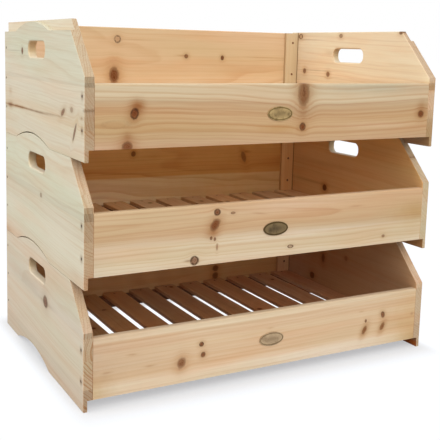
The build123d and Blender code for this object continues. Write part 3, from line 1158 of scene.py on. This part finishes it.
def add_camera():
    """The camera, turned right from +Y, tipped down and rolled a little."""
    ahead = math.cos(CAMERA_DROP)
    forward = Vector(
        (math.sin(CAMERA_TURN) * ahead, math.cos(CAMERA_TURN) * ahead, -math.sin(CAMERA_DROP))
    )
    level_right = Vector((math.cos(CAMERA_TURN), -math.sin(CAMERA_TURN), 0))
    level_up = level_right.cross(forward)
    right = level_right * math.cos(CAMERA_ROLL) + level_up * math.sin(CAMERA_ROLL)
    up = level_up * math.cos(CAMERA_ROLL) - level_right * math.sin(CAMERA_ROLL)
    data = bpy.data.cameras.new("camera")
    data.lens = CAMERA_LENS
    data.sensor_width = CAMERA_SENSOR
    data.shift_x, data.shift_y = CAMERA_SHIFT
    camera = bpy.data.objects.new("camera", data)
    axes = Matrix((right, up, -forward)).transposed()
    camera.matrix_world = Matrix.Translation(CAMERA_PLACE) @ axes.to_4x4()
    bpy.context.scene.collection.objects.link(camera)
    bpy.context.scene.camera = camera


add_camera()

# ---- studio ----

# The world's light at the horizon and overhead, and how high up it is full
SKY_STRENGTHS = (0.2, 0.8)
SKY_RISE = (0.0, 0.5)

# Softboxes: each one's place, width, height and power in watts. All aim at the same place
SOFTBOXES = {
    "key": ((-0.3, -2.6, 2.3), 2.6, 2.2, 60),
    "fill": ((-2.9, 0.1, 2.0), 2.0, 2.0, 40),
    "top": ((-0.2, 0.2, 3.0), 2.4, 2.4, 10),
}
SOFTBOX_AIM = (0.0, 0.0, 0.25)


def seen_directly(nodes):
    """1 for camera, mirror and see-through rays, which show the white of the studio."""
    rays = nodes.add("LightPath").outputs
    seen = nodes.math("MAXIMUM", rays["Is Camera Ray"], rays["Is Glossy Ray"])
    return nodes.math("MAXIMUM", seen, rays["Is Transmission Ray"])


def add_world():
    """Light that comes mostly from above, behind a white background."""
    world = bpy.data.worlds.new("studio")
    nodes = emptied(world)
    direction = nodes.add("TexCoord").outputs["Generated"]
    strength = nodes.step(nodes.split(direction)[2], *SKY_RISE, *SKY_STRENGTHS)
    white = nodes.add("Background", {"Color": WHITE, "Strength": 1.0}).outputs[0]
    light = nodes.add("Background", {"Color": WHITE, "Strength": strength}).outputs[0]
    chosen = nodes.add("MixShader", {0: seen_directly(nodes), 1: light, 2: white})
    nodes.add("OutputWorld", {"Surface": chosen.outputs[0]})
    bpy.context.scene.world = world


def add_softbox(name, place, width, height, power):
    """A soft rectangular light."""
    data = bpy.data.lights.new(name, "AREA")
    data.shape = "RECTANGLE"
    data.size = width
    data.size_y = height
    data.energy = power
    lamp = bpy.data.objects.new(name, data)
    lamp.location = place
    lamp.rotation_mode = "QUATERNION"
    lamp.rotation_quaternion = (Vector(SOFTBOX_AIM) - Vector(place)).to_track_quat("-Z", "Y")
    bpy.context.scene.collection.objects.link(lamp)


# The floor: it glows white, but less so within the shadow's reach of the part's footprint
FLOOR_HALF = 30.0
FLOOR_GLOW = 0.45
FLOOR_SHADE = 0.68
FLOOR_TINT = (0.985, 1.0, 1.03, 1.0)
WHITE_GLOW = 1.02
PLAIN_FLOOR = (0.6, 0.6, 0.6, 1.0)
SHADOW_REACH = (0.022, 0.046)
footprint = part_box("bottom_right_side")[1]

# The stretch of floor under the crates that glows white as painted light where their shadow falls, so
# that it shows white between the slats: where its edges fade, in metres
UNDER_LEFT = (-0.31, -0.27)
UNDER_RIGHT = (0.285, 0.30)
UNDER_MIDDLE = 0.03
UNDER_HALF = (0.14, 0.19)


def floor_material():
    """A pale floor: white where nothing shades it, far away, and, as painted light where the crates shade
    it, under the slatted floor.
    """
    material = bpy.data.materials.new("floor")
    nodes = emptied(material)
    place = nodes.split(nodes.add("TexCoord").outputs["Object"])
    past = []
    for offset, half, span in zip(place[:2], footprint[:2], SHADOW_REACH):
        beyond = nodes.math("MAXIMUM", nodes.minus(nodes.math("ABSOLUTE", offset), half), 0.0)
        past.append(nodes.math("DIVIDE", beyond, span))
    reach = nodes.vector("LENGTH", nodes.join(*past, 0.0))
    glow = nodes.step(reach, 0.0, 1.0, FLOOR_GLOW, WHITE_GLOW)
    # Painted light: the floor under the crates glows white where their shadow falls
    off_middle = nodes.gap(place[1], UNDER_MIDDLE)
    beneath = nodes.fall(off_middle, *UNDER_HALF)
    beneath = nodes.times(beneath, nodes.step(place[0], *UNDER_LEFT))
    beneath = nodes.times(beneath, nodes.fall(place[0], *UNDER_RIGHT))
    glow = nodes.math("MAXIMUM", glow, nodes.times(beneath, WHITE_GLOW))
    shade = nodes.times(nodes.math("SUBTRACT", 1.0, glow, clamp=True), FLOOR_SHADE)
    emitted = nodes.add("Emission", {"Color": FLOOR_TINT, "Strength": glow})
    shaded = nodes.add("BsdfDiffuse", {"Color": nodes.join(shade, shade, shade)})
    shown = nodes.add("AddShader", {0: emitted.outputs[0], 1: shaded.outputs[0]}).outputs[0]
    plain = nodes.add("BsdfDiffuse", {"Color": PLAIN_FLOOR}).outputs[0]
    chosen = nodes.add("MixShader", {0: seen_directly(nodes), 1: plain, 2: shown})
    nodes.add("OutputMaterial", {"Surface": chosen.outputs[0]})
    return material


def add_floor():
    """A flat square under the part, which is stage and no piece of it."""
    half = FLOOR_HALF
    corners = [(-half, -half, 0), (half, -half, 0), (half, half, 0), (-half, half, 0)]
    mesh = bpy.data.meshes.new("floor")
    mesh.from_pydata(corners, [], [(0, 1, 2, 3)])
    floor = bpy.data.objects.new("floor", mesh)
    bpy.context.scene.collection.objects.link(floor)
    mesh.materials.append(floor_material())


add_world()
add_floor()
for name, (place, width, height, power) in SOFTBOXES.items():
    add_softbox(name, place, width, height, power)

bpy.context.scene.view_settings.view_transform = "Standard"
